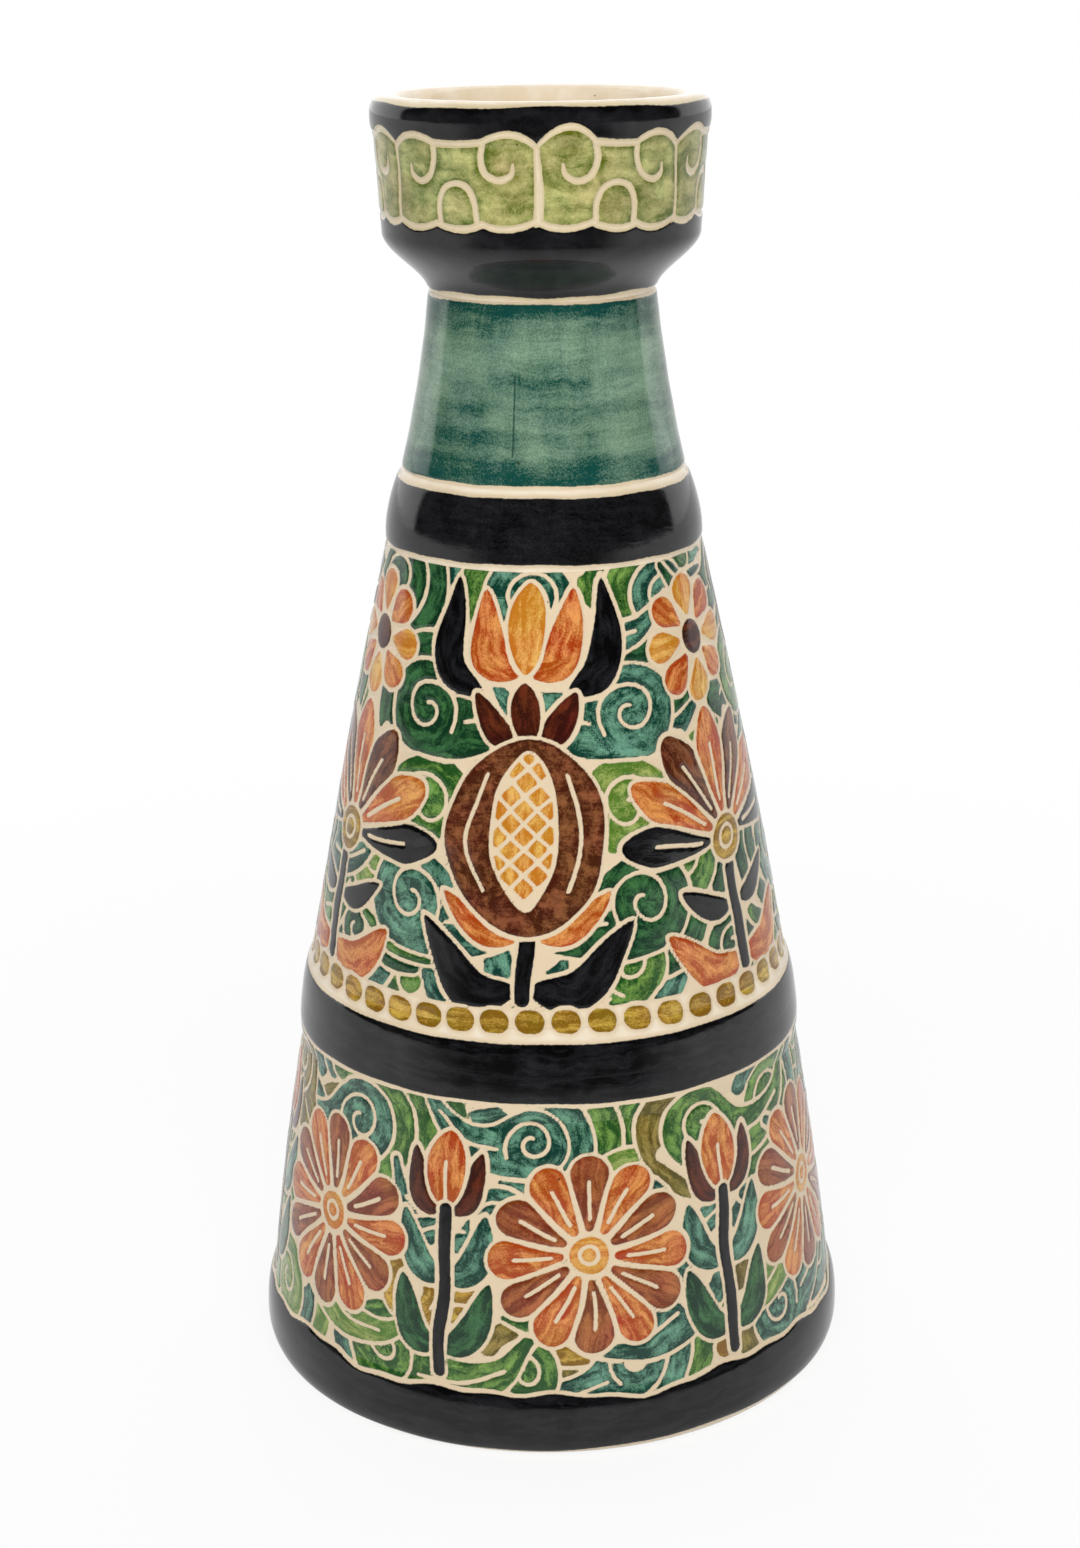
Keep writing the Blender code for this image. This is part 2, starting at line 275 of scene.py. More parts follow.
def layParts(canvas, flat, parts):
    # each part is a path, a half width, a slip and what else its stroke needs; one that starts left of the
    # middle has a mirror image
    for points, *brushed in parts:
        layStroke(canvas, flat, points, *brushed)
        if points[0][0] < 0:
            layStroke(canvas, flat, [(-px, py) for px, py in points], *brushed)


leafRib = dict(foot=2, share=0.65)  # where the rib of a leaf starts and how far it runs


def layFlower(canvas, flat, flower):
    # a round eye, then leaves that stand round it, each with a rib up to a share of its length
    centre = np.array(flower["centre"], float)
    ring = [spiralPath(centre, flower["ring"], flower["ring"], 0, 1, 20)] if flower["ring"] else ()
    layStroke(canvas, flat, [centre, centre + (0.01, 0)], flower["eye"], flower["eyeSlip"], "even", ring)
    inner, outer, width = flower["inner"], flower["outer"], flower["width"]
    tip = outer - width if flower["profile"] == "petal" else outer
    for k, degrees in enumerate(flower["angles"]):
        out = np.array([math.sin(math.radians(degrees)), math.cos(math.radians(degrees))])
        points = [centre + out * r for r in (inner, (inner + tip) / 2, tip)]
        ribEnds = (inner + leafRib["foot"], inner + (outer - inner) * leafRib["share"])
        ribs = [smoothPath([centre + out * r for r in ribEnds], 4)] if flower["ribs"] else ()
        pigment = flower["colours"][k % len(flower["colours"])]
        layStroke(canvas, flat, points, width, pigment, flower["profile"], ribs)


# Scrolls: round heads with a curled line and a sweeping tail, and bands that follow them
scrollTail = [(0, 0), (0.75, -0.62), (1.75, -0.85), (2.75, -0.55), (3.5, 0.25)]  # in head radii
scrollCurl = dict(start=-62, turns=1.35, big=0.80, small=0.14)
echoBands = dict(first=3.7, pitch=6.5, half=2.8, start=-95, turns=0.62, rings=3, closing=0.4)
strewn = dict(turn=0.12, rise=1.2, sweep=0.35, least=0.78, most=1.15)  # chance in place, lean and size


def scroll(turn, centre, radius, side, sweep, colours):  # what one scroll is drawn from
    return dict(turn=turn, centre=centre, radius=radius, side=side, sweep=sweep, colours=colours)


def startAngle(item, degrees):  # angle on a scroll in degrees, mirrored for a scroll that turns the other way
    return math.degrees(item["sweep"]) + (degrees if item["side"] > 0 else 180 - degrees)


def layHead(canvas, item):
    # comma with a round head and a tail that sweeps away, and a scratched line that runs up it and curls in
    centre, radius, side, sweep = item["centre"], item["radius"], item["side"], item["sweep"]
    turn = np.array([[math.cos(sweep), -math.sin(sweep)], [math.sin(sweep), math.cos(sweep)]])
    bent = np.array(centre) + radius * (np.array(scrollTail) * (side, 1)) @ turn.T
    start = startAngle(item, scrollCurl["start"])
    big, small = radius * scrollCurl["big"], radius * scrollCurl["small"]
    curl = spiralPath(centre, big, small, start, scrollCurl["turns"] * side, 26)
    veins = [curl, smoothPath(bent[1:-1], 10)]
    flat = flatFrame(canvas, item["turn"])
    layStroke(canvas, flat, bent, radius, item["colours"][0], "comma", veins, centre)


def layEcho(canvas, item, ring):
    # band that follows the back of a scroll's head, one pitch further out for each ring
    arc = item["radius"] + echoBands["first"] + echoBands["pitch"] * ring
    start = startAngle(item, echoBands["start"])
    turns = -echoBands["turns"] * item["side"]
    path = spiralPath(item["centre"], arc, arc - echoBands["closing"], start, turns, 14)
    flat = flatFrame(canvas, item["turn"])
    layStroke(canvas, flat, path, echoBands["half"], item["colours"][1 + ring], "even")


def layScrolls(canvas, scrolls, fill):
    # all the heads first, then ring after ring of bands in what is left between them, then the last gaps
    for item in scrolls:
        layHead(canvas, item)
    for ring in range(echoBands["rings"]):
        for item in scrolls:
            layEcho(canvas, item, ring)
    takeAll(canvas, np.full(canvas["theta"].size, echoBands["half"]), fill)


def groundScrolls(canvas, settings):
    # staggered rows of scrolls behind the plants
    chance = np.random.default_rng(settings["seed"])
    palette = settings["palette"]
    scrolls = []
    for row, y in enumerate(settings["rows"]):
        radius = (canvas["rhoFoot"] - y) * canvas["sine"]
        count = int(tau * radius / settings["pitch"])
        for k in range(count):
            turn = tau * (k + 0.5 * (row % 2) + strewn["turn"] * chance.normal()) / count
            colours = [palette[n] for n in chance.integers(len(palette), size=4)]
            size = settings["size"] * chance.uniform(strewn["least"], strewn["most"])
            side = 1 if chance.random() < 0.5 else -1
            spot = (0.0, y + strewn["rise"] * chance.normal())
            sweep = strewn["sweep"] * chance.normal()
            scrolls.append(scroll(turn, spot, size, side, sweep, colours))
    return scrolls


# Middle frieze: fruit and palmette plants by turns, with scrolls behind them and beads below
middleFrieze = dict(
    plants=6, turn=-math.pi / 2 - 0.10, beads=44, bead=[(-0.9, 1.1), (0.9, 1.1)], beadHalf=2.5, beadTop=3.4,
)
middleScrolls = dict(
    rows=(95, 75, 54, 33, 13), pitch=33.0, size=9.8, seed=4, fill="pine",
    palette=("teal", "pine", "leaf", "teal", "lime", "pine"),
)
gapScrolls = (  # large scrolls between two plants
    dict(spot=(1.5, 70), size=10.6, sweep=-0.5, side=-1, colours=("teal", "leaf", "pine")),
    dict(spot=(-2.0, 49), size=11.0, sweep=0.35, side=1, colours=("lime", "teal", "leaf")),
    dict(spot=(1.0, 27), size=11.4, sweep=-0.3, side=-1, colours=("pine", "teal", "teal")),
)
palmetteFan = dict(
    centre=(0, 36), eye=5.2, eyeSlip="ochre", ring=2.6, inner=7.0, outer=30.0, width=5.0,
    profile="lance", ribs=True, angles=(0, 27, -27, 54, -54, 81, -81),
    colours=("orange", "brown", "brown", "orange", "orange", "black", "black"),
)
palmetteBloom = dict(
    centre=(0, 83), eye=3.8, eyeSlip="umber", ring=0, inner=5.6, outer=14.5, width=3.6,
    profile="petal", ribs=False, angles=range(0, 360, 45), colours=("amber", "orange"),
)
palmetteStem = (
    ([(0, 6), (0, 29)], 1.8, "black", "even"),
    ([(-1, 8), (-12, 8), (-22, 19)], 4.4, "orange"),
    ([(-2, 21), (-9, 22), (-17, 28)], 2.8, "black"),
)
bloomStem = (([(0, 66), (0, 70)], 1.5, "black", "even"),)
fruitLattice = [smoothPath([(-9 * s, y - 9), (9 * s, y + 9)], 2) for s in (1, -1) for y in range(28, 68, 6)]
fruitRibs = [smoothPath([(9.5 * s, 31), (13 * s, 43), (8.5 * s, 57)], 12) for s in (1, -1)]
fruitPlant = (  # latticed heart, ribbed fruit, its crown, the bloom above, the stem and its leaves
    ([(0, 27), (0, 44), (0, 61)], 6.8, "amber", "leaf", fruitLattice),
    ([(0, 35), (0, 43), (0, 50)], 18, "brown", "fruit", fruitRibs),
    ([(0, 63), (0, 70), (0, 77)], 3.3, "umber"),
    ([(-3, 63), (-7, 67), (-11, 75)], 3.0, "umber"),
    ([(0, 79), (0, 89), (0, 99)], 4.2, "amber"),
    ([(-1, 79), (-8, 83), (-9.5, 98)], 4.0, "orange"),
    ([(-9, 74), (-17.5, 82), (-16, 101)], 3.8, "black"),
    ([(0, 6), (0, 26)], 1.8, "black", "even"),
    ([(-1, 8), (-13, 9), (-24, 25)], 4.6, "black"),
    ([(-2, 20), (-10, 22), (-19, 31)], 3.0, "orange"),
)


def paintMiddle(canvas):
    # beads along the foot, a plant in each share of the turn, scrolls in the gaps and behind
    for k in range(middleFrieze["beads"]):
        flat = flatFrame(canvas, tau * (k + 0.5) / middleFrieze["beads"])
        layStroke(canvas, flat, middleFrieze["bead"], middleFrieze["beadHalf"], "ochre", "even")
    canvas["first"] = np.maximum(canvas["first"], middleFrieze["beadTop"] - canvas["slant"])
    scrolls = []
    for k in range(middleFrieze["plants"]):
        turn = tau * k / middleFrieze["plants"] + middleFrieze["turn"]
        flat = flatFrame(canvas, turn)
        way = 1 if k % 2 == 0 else -1
        if way > 0:
            layParts(canvas, flat, fruitPlant)
        else:
            paintPalmette(canvas, flat)
        for g in gapScrolls:
            colours = (g["colours"][k % 3], "pine", "leaf", "teal")
            spot = (way * g["spot"][0], g["spot"][1])
            between = turn + tau / 2 / middleFrieze["plants"]
            scrolls.append(scroll(between, spot, g["size"], way * g["side"], way * g["sweep"], colours))
    layScrolls(canvas, scrolls + groundScrolls(canvas, middleScrolls), middleScrolls["fill"])


def paintPalmette(canvas, flat):
    # fan of leaves on a stem, with a small round bloom above it
    layFlower(canvas, flat, palmetteFan)
    layParts(canvas, flat, palmetteStem)
    layFlower(canvas, flat, palmetteBloom)
    layParts(canvas, flat, bloomStem)


# Lower frieze: big rosettes with tulips between them, and scrolls behind
lowerFrieze = dict(rosettes=6, turn=-math.pi / 2 + 0.14, footDrop=-1.3)
lowerScrolls = dict(
    rows=(58, 41, 23, 6), pitch=33.0, size=9.4, seed=9, fill="leaf",
    palette=("teal", "leaf", "ochre", "olive", "lime", "teal"),
)
rosette = dict(
    centre=(0, 32), eye=4.4, eyeSlip="amber", ring=2.1, inner=6.6, outer=23.5, width=4.4,
    profile="petal", ribs=True, angles=range(0, 360, 30), colours=("russet", "orange"),
)
tulip = (
    ([(0, 3), (0, 42)], 1.5, "black", "even"),
    ([(0, 43), (0, 51), (0, 60)], 4.8, "orange", "leaf", [smoothPath([(0, 43), (0, 53)], 3)]),
    ([(-1, 41), (-6, 45), (-8, 56)], 3.0, "umber"),
    ([(-1, 25), (-7, 29), (-10, 41)], 3.6, "teal"),
    ([(-1, 8), (-7, 12), (-11, 25)], 3.8, "pine"),
)
footWaves = ((0.75, 7, 0, 1.0), (0.5, 13, 0, 2.2), (0.3, 31, 0, 0))  # the waver of the black foot's edge


def footEdge(theta):
    # level of the black foot's upper edge, counted from the foot of the wall: three waves round the vase
    return lowerFrieze["footDrop"] + ripples(footWaves, theta)


def paintLower(canvas):
    # black foot, a rosette in each share of the turn, a tulip half a share on, scrolls behind
    share = tau / lowerFrieze["rosettes"]
    takeAll(canvas, footEdge(canvas["theta"]) - canvas["slant"], "black")
    for k in range(lowerFrieze["rosettes"]):
        layFlower(canvas, flatFrame(canvas, share * k + lowerFrieze["turn"]), rosette)
    for k in range(lowerFrieze["rosettes"]):
        layParts(canvas, flatFrame(canvas, share * (k + 0.5) + lowerFrieze["turn"]), tulip)
    layScrolls(canvas, groundScrolls(canvas, lowerScrolls), lowerScrolls["fill"])


# Cup border: uneven green panels, each with two lobes, two volutes and a small arch, between scalloped edges
cupBorder = dict(
    posts=(-57, -1, 52, 103, 155, 207, 256, 303), post=1.3, line=1.6, foot=5.4, top=20.6, scallop=1.2,
    domes=((1.1, 1.2), (2.7, 1.7), (1.3, 1.8), (2.0, 1.2), (1.2, 1.7), (1.8, 1.2), (1.5, 1.3)),
    lobe=12.0, peak=6.8, dip=1.5, blackFoot=-12.0, blackTop=28.4, ripple=((0.25, 4, 0, 1), (0.12, 11, 0, 0)),
    curlHalf=0.72, curlEnd=0.30, curlSteps=30, curlTail=8, reach=6,
    volute=[(0.2, 1.0), (-0.3, -2.4), (0.8, -5.8), (3.8, -7.3), (6.4, -6.2), (6.8, -4.1)],
    arch=[(-4.6, 3.0), (-4.6, 8.4), (-2.9, 12.0), (0, 13.1), (2.9, 12.0), (4.6, 8.4), (4.6, 3.0)],
)


def paintCup(canvas):
    # a panel lies between two posts, over a scalloped foot and under two domes that dip towards the posts
    b = cupBorder
    union = np.full(canvas["theta"].size, untaken)
    even = np.full(b["curlSteps"], b["curlHalf"])
    taper = np.r_[even[b["curlTail"]:], np.linspace(b["curlHalf"], b["curlEnd"], b["curlTail"])]
    arch = smoothPath(b["arch"], b["curlSteps"])
    for left, right, domes in zip(b["posts"][:-1], b["posts"][1:], b["domes"]):
        x, y = flatFrame(canvas, math.radians((left + right) / 2 - 90))
        half = math.radians(right - left) / 2 * cupRadius
        u = np.mod(x + half, 2 * half / 3) / (2 * half / 3)
        foot = b["foot"] - b["scallop"] * (1 - (2 * u - 1) ** 2)
        dome = np.where(x < 0, domes[0], domes[1])
        past = np.abs(x) - half + b["peak"]  # how far a point lies beyond the peak of its lobe
        rise = np.maximum(dome * (1 - (past / (b["lobe"] - b["peak"])) ** 2), 0)
        fall = dome - (dome + b["dip"]) * (past / b["peak"]) ** 2
        top = b["top"] + np.where(past < 0, rise, fall)
        inside = np.minimum(np.minimum(y - foot, top - y), half - b["post"] / 2 - np.abs(x))
        near = np.flatnonzero(inside > -b["reach"])
        hook = smoothPath([(half - b["lobe"] + px, b["top"] + py) for px, py in b["volute"]], b["curlSteps"])
        own = inside[near]
        for path, width in ((arch, even), (hook, taper), (hook * (-1, 1), taper)):
            own = np.minimum(own, -pathInside(x[near], y[near], path, width)[0])
        takeCell(canvas, near, inside[near], own, "spring", x[near], y[near])
        union = np.maximum(union, inside)
    ends = np.minimum(canvas["slant"] - b["blackFoot"], b["blackTop"] - canvas["slant"])
    ends += ripples(b["ripple"], canvas["theta"])
    canvas["first"][:] = untaken
    takeAll(canvas, np.minimum(-union - b["line"], ends), "black")


bandWaves = ((1.0, 3, 0, 0.7), (0.6, 8, 0, 2), (0.4, 19, 0, 0))  # the waver of a band's edges
bandUpper = 0.7  # the upper edge wavers less than the lower one


def paintBand(canvas, low, high, pigment, ripple=0.2):
    # one colour between two levels, whose edges waver
    level, waver = canvas["slant"], ripple * ripples(bandWaves, canvas["theta"])
    takeAll(canvas, np.minimum(level - low - waver, high - level + waver * bandUpper), pigment)


def paintSeam(canvas, cone, painter, band, near):
    # the frieze of a wall runs on over the edge of its neighbour, round the neighbour's own black band
    slant = canvas["slant"][near] - cone["zero"]
    part = newCanvas(canvas["theta"][near], slant, cone["length"], cone["low"], cone["high"])
    if band:
        paintBand(part, band[0] - cone["zero"], band[1] - cone["zero"], "black")
    painter(part)
    for key in ("edge", "pigment", "brush"):
        canvas[key][near] = part[key]


print("outline ready", round(rimTop, 1), "mm tall")


# Turned surfaces
stripFill = 0.995  # leaves a sliver between two strips of a flat map
creases = dict(painted=58, plain=40)  # faces that meet at a sharper turn than this show an edge, in degrees


def ringFaces(steps, rows, columns):
    # so many bands of quads from row to row, each column joined to the next one round the turn
    row, column = np.meshgrid(np.arange(steps), np.arange(columns), indexing="ij")
    here, above = row * columns, (row + 1) % rows * columns
    beside = (column + 1) % columns
    return np.stack([here + column, here + beside, above + beside, above + column], -1).reshape(-1, 4)


def stripMap(mesh, radius, height, share, strips):
    # flat map for the surface: the turn is cut into strips that lie one above another
    rows, columns = radius.shape
    row, column = np.meshgrid(np.arange(rows), np.arange(columns), indexing="ij")
    wide, tall = radius.mean(1), height.mean(1)
    lengths = np.hypot(np.diff(wide, append=wide[0]), np.diff(tall, append=tall[0]))
    travel = np.r_[0, np.cumsum(lengths * share)]
    travel /= travel[-1]
    perStrip = columns // strips
    place = column % perStrip
    u = np.stack([place, place + 1, place + 1, place], -1) / perStrip
    v = np.stack([travel[row], travel[row], travel[row + 1], travel[row + 1]], -1)
    v = (v * stripFill + (column // perStrip)[..., None]) / strips
    uvMap = mesh.uv_layers.new(name="OFBake")
    uvMap.data.foreach_set("uv", np.stack([u, v], -1).reshape(-1).astype(np.float32))


def loopMesh(name, radius, height):
    # closed ring: row k lies at radius[k] and height[k] all the way round, and the last row meets the first
    rows, columns = radius.shape
    theta = np.linspace(0, tau, columns, endpoint=False)[None, :]
    verts = np.stack([radius * np.cos(theta), radius * np.sin(theta), height], -1).reshape(-1, 3) * mm
    quads = ringFaces(rows, rows, columns)
    mesh = bpy.data.meshes.new(name)
    mesh.vertices.add(len(verts))
    mesh.vertices.foreach_set("co", verts.ravel())
    mesh.loops.add(quads.size)
    mesh.loops.foreach_set("vertex_index", quads.ravel().astype(np.int32))
    mesh.polygons.add(len(quads))
    mesh.polygons.foreach_set("loop_start", np.arange(0, quads.size, 4, dtype=np.int32))
    mesh.polygons.foreach_set("use_smooth", np.ones(len(quads), dtype=bool))
    mesh.update(calc_edges=True)
    mesh.set_sharp_from_angle(angle=math.radians(creases["painted"]))
    return mesh


def storePaint(mesh, edge, brush, pigment):
    # distance to the drawn edge, brush direction and both coats of the slip, kept at each point
    mesh.attributes.new("edge", "FLOAT", "POINT").data.foreach_set("value", edge.astype(np.float32))
    strokes = mesh.attributes.new("brush", "FLOAT_VECTOR", "POINT")
    strokes.data.foreach_set("vector", brush.astype(np.float32).ravel())
    for coat, key in enumerate(("thin", "thick")):
        table = np.array([rgba(pigments[slip][coat]) for slip in pigmentNames])
        layer = mesh.attributes.new(key, "FLOAT_COLOR", "POINT")
        layer.data.foreach_set("color", table[pigment].astype(np.float32).ravel())


# the step from bare ground up to the slip runs between two distances from the drawn edge; stray slivers are
# cleared to a distance, and slip is followed for so many steps from a deep place
carving = dict(low=-0.45, high=0.20, clear=-0.35, steps=12)


def spread(spots):  # marked spots and their neighbours, round the turn
    tall = np.pad(spots, ((1, 1), (0, 0)))
    wide = tall[:-2] | tall[1:-1] | tall[2:]
    return wide | np.roll(wide, 1, axis=1) | np.roll(wide, -1, axis=1)


def dropSlivers(edge, least):
    # slip stays where it joins a place at least so deep within its own lines, and stray slivers go
    kept = edge >= least
    for step in range(carving["steps"]):
        kept |= spread(kept) & (edge > 0)
    return np.where(spread(kept), edge, np.minimum(edge, carving["clear"]))


def placePiece(name, mesh, settings):
    # a finished piece on the one body, in place of its CAD node
    mesh.materials.append(settings["material"])
    piece = bpy.data.objects.new(name, mesh)
    bpy.context.scene.collection.objects.link(piece)
    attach(piece, "root")
    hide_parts(settings["node"])
    print("built", name, len(mesh.polygons), "faces")


cylinder = dict(length=20.0, taper=0.01)  # a cone that hardly tapers


def turnPiece(name, levels, radii, rest, settings, painter):
    # outer rows stand at levels with their own radii, scratched lines and bare ground lie lower than the slip
    # by an eased step, and the rest of the section goes on down to the foot
    columns = settings["columns"]
    theta = np.linspace(0, tau, columns, endpoint=False)
    height, turn = np.meshgrid(levels, theta, indexing="ij")
    climb = np.r_[0, np.cumsum(np.hypot(np.diff(radii), np.diff(levels)))]
    if settings.get("cone"):
        canvas = newCanvas(turn.ravel(), np.repeat(climb, columns), climb[-1], radii[0], radii[-1])
    else:  # an upright wall is all but a cylinder
        slant = height.ravel() - settings.get("zero", 0)
        canvas = newCanvas(turn.ravel(), slant, cylinder["length"], cupRadius + cylinder["taper"], cupRadius)
    painter(canvas)
    edge = dropSlivers(canvas["edge"].reshape(height.shape), settings.get("least", 0.0))
    relief = eased(edge, carving["low"], carving["high"], -settings["carve"], 0)
    radius = radii[:, None] + handWobble(turn, height) + relief
    rest = np.asarray(rest, float)
    plain = len(rest) * columns
    radius = np.vstack([radius, np.repeat(rest[:, :1], columns, 1)])
    height = np.vstack([height, np.repeat(rest[:, 1:], columns, 1)])
    mesh = loopMesh(name, radius, height)
    share = np.r_[np.ones(len(levels) - 1), np.full(len(rest) + 1, settings.get("restShare", 0.15))]
    stripMap(mesh, radius, height, share, settings["strips"])
    travel = np.tile(theta, len(rest)) * drawing["inside"]
    bare = np.column_stack([travel, np.repeat(rest[:, 1], columns), np.zeros(plain)])
    brush = np.vstack([canvas["brush"], bare])
    pigment = np.r_[canvas["pigment"], np.full(plain, pigmentNames.index("cream"))]
    storePaint(mesh, np.r_[edge.ravel(), np.full(plain, bareEdge)], brush, pigment)
    placePiece(name, mesh, settings)


# Fired surfaces
clay = dict(pale="#F5E8D2", warm="#EDDBBF", speck="#7A6048")
# sizes in millimetres of what all the glazes share, with the steps of finer detail in each
glazeGrain = dict(grit=(1.1, 3), sway=(5.3, 2), fleck=(0.38, 2), drift=(9.1, 2), roll=(10.5, 2))
speckPitch = 9.0  # millimetres between iron specks
edgeBlur = 0.13  # half of the soft step at a drawn edge
streakMiddle = 0.49  # level of the streaks at which a coat is half loaded
bumpDepth = dict(glaze=0.6, plain=0.3)  # millimetres


def newTree(name):  # empty material and its node tree
    material = bpy.data.materials.new(name)
    material.use_nodes = True
    material.node_tree.nodes.clear()
    return material, material.node_tree


def slipGlaze(name, s):
    # clear gloss over brushed slips: streaks along each stroke, pools at its edges (on the neck also painted
    # shade), pale clay in the lines
    material, tree = newTree(name)
    spot = put(tree, "TexCoord", out="Object")
    edge = put(tree, "Attribute", out="Fac", attribute_name="edge")
    thin = put(tree, "Attribute", out="Color", attribute_name="thin")
    thick = put(tree, "Attribute", out="Color", attribute_name="thick")
    brush = put(tree, "Attribute", out="Vector", attribute_name="brush")
    grain = {}
    for key, (size, detail) in dict(glazeGrain, cloud=(s["blotch"], 4)).items():
        kind = {"Vector": spot, "Scale": perMetre(size), "Detail": detail}
        grain[key] = put(tree, "TexNoise", kind, "Color" if key == "sway" else 0)

    # where the slip lies: the drawn edge, roughened by grit
    shaken = put(tree, "Math", {0: grain["grit"], 1: s["shake"], 2: edge}, operation="MULTIPLY_ADD")
    rim = put(tree, "Math", {0: shaken, 1: s["shake"] / 2}, operation="SUBTRACT")
    step = {"Value": rim, "From Min": -edgeBlur, "From Max": edgeBlur}
    mask = put(tree, "MapRange", step, interpolation_type="SMOOTHSTEP")

    # strokes and scrubbing with a swaying hand
    swing = put(tree, "VectorMath", {0: grain["sway"], 1: (0.5, 0.5, 0.5)}, operation="SUBTRACT")
    sweep = {0: swing, 1: (s["warp"], s["warp"], 0.0), 2: brush}
    hand = put(tree, "VectorMath", sweep, operation="MULTIPLY_ADD")
    coats = []
    for long, wide in (s["stroke"], s["scrub"]):
        size = (1 / long, 1 / wide, 1.0)
        strokes = put(tree, "VectorMath", {0: hand, 1: size}, operation="MULTIPLY")
        bristles = {"Vector": strokes, "Scale": 1.0, "Detail": 6, "Roughness": s["bristle"]}
        coats.append(put(tree, "TexNoise", bristles))
    streak = put(tree, "Mix", {0: s["crossing"], 2: coats[0], 3: coats[1]})
    scatter = put(tree, "TexVoronoi", {"Vector": spot, "Scale": perMetre(speckPitch)}, "Distance")

    # what each pattern gives: from two of its levels to two amounts
    gives = {}
    for key, pattern, low, high, first, last in (
        ("poolAndShade", rim, 0.0, s["poolAndShadeWidth"], s["poolAndShade"], 0.0),
        ("load", streak, streakMiddle - s["soft"], streakMiddle + s["soft"], 0.0, 1.0),
        ("wash", grain["cloud"], 0.36, 0.64, 0.0, 1.0),
        ("fleck", grain["fleck"], 0.35, 0.65, -0.5, 0.5),
        ("hue", grain["drift"], 0.3, 0.7, 0.5 - s["hue"], 0.5 + s["hue"]),
        ("line", rim, -1.15, -0.35, 0.0, 1.0),
        ("speck", scatter, 0.022, 0.042, 0.9, 0.0),
        ("rough", grain["cloud"], 0.0, 1.0, 0.045, 0.10),
    ):
        ends = {"Value": pattern, "From Min": low, "From Max": high, "To Min": first, "To Max": last}
        gives[key] = put(tree, "MapRange", ends)

    # how thick the slip lies: its pools (on the neck partly painted shade), then streaks, clouds and flecks
    coat = gives["poolAndShade"]
    for key, amount in (("load", s["streaks"]), ("wash", s["washes"]), ("fleck", s["flecks"])):
        coat = put(tree, "Math", {0: gives[key], 1: amount, 2: coat}, operation="MULTIPLY_ADD")

    # colour: the hue drifts over a centimetre, wide bare places are paler, and iron specks darken it
    mixed = put(tree, "Mix", {0: coat, 6: thin, 7: thick}, 2, data_type="RGBA")
    slip = put(tree, "HueSaturation", {"Hue": gives["hue"], "Color": mixed})
    tones = {0: gives["wash"], 6: rgba(clay["pale"]), 7: rgba(clay["warm"])}
    bare = put(tree, "Mix", tones, 2, data_type="RGBA")
    # narrow scratched lines take the darker line colour: glaze pooled in the groove, and painted shade of the
    # groove
    ground = put(tree, "Mix", {0: gives["line"], 6: bare, 7: rgba(s["line"])}, 2, data_type="RGBA")
    clean = put(tree, "Mix", {0: mask, 6: ground, 7: slip}, 2, data_type="RGBA")
    specks = {0: gives["speck"], 6: clean, 7: rgba(clay["speck"])}
    colour = put(tree, "Mix", specks, 2, data_type="RGBA", blend_type="MULTIPLY")

    # gloss: uneven glaze that rolls over a centimetre, with the ridges of the brush under it
    height = put(tree, "Math", {0: streak, 1: s["ridge"], 2: grain["roll"]}, operation="MULTIPLY_ADD")
    bump = put(tree, "Bump", {"Height": height, "Strength": s["bump"], "Distance": bumpDepth["glaze"] * mm})
    surface = put(tree, "BsdfPrincipled", {
        "Base Color": colour, "Roughness": gives["rough"], "Normal": bump,
    })
    put(tree, "OutputMaterial", {"Surface": surface}, None)
    return material


# strokes and scrubbing are given as length and width in millimetres, the clouds as their size
paintedGlaze = slipGlaze("painted slip under clear glaze", dict(  # streaked along each stroke, glassy
    shake=0.34, stroke=(9.0, 1.8), scrub=(2.8, 3.3), crossing=0.28, bristle=0.60, warp=3.6,
    blotch=5.9, soft=0.08, streaks=0.82, washes=0.34, flecks=0.40, hue=0.010,
    poolAndShade=0.26, poolAndShadeWidth=1.3, ridge=0.50, bump=0.11, line="#E6D1B0",
))
blackGlaze = slipGlaze("black slip under clear glaze", dict(  # deep and even, mirrors the room
    shake=0.34, stroke=(16.7, 1.25), scrub=(3.3, 3.3), crossing=0.40, bristle=0.60, warp=3.0,
    blotch=6.7, soft=0.13, streaks=0.60, washes=0.45, flecks=0.60, hue=0.020,
    poolAndShade=0.05, poolAndShadeWidth=1.3, ridge=0.60, bump=0.16, line="#DECAA9",
))
greenGlaze = slipGlaze("mottled green slip under clear glaze", dict(  # soft clouds, dark at the lines
    shake=0.36, stroke=(12.0, 3.4), scrub=(4.4, 7.0), crossing=0.35, bristle=0.62, warp=6.0,
    blotch=5.6, soft=0.10, streaks=0.66, washes=0.36, flecks=0.22, hue=0.024,
    # the line colour is darker than on the walls: painted shade, as if the cup got less light
    poolAndShade=0.30, poolAndShadeWidth=1.6, ridge=0.40, bump=0.12, line="#D7C59F",
))
seaGlaze = slipGlaze("brushed copper green glaze", dict(  # long level streaks, darker at both ends: thick glaze, and at the top also painted shade under the cup's flare
    shake=0.40, stroke=(55.0, 3.8), scrub=(7.5, 26.0), crossing=0.30, bristle=0.70, warp=3.2,
    blotch=16.7, soft=0.13, streaks=0.60, washes=0.42, flecks=0.34, hue=0.012,
    # the neck's pool is partly painted shade: the top of the neck is darkened as if shaded by the cup's flare
    poolAndShade=0.46, poolAndShadeWidth=8.0, ridge=0.30, bump=0.10, line="#DECAA9",
))
print("glazes ready")

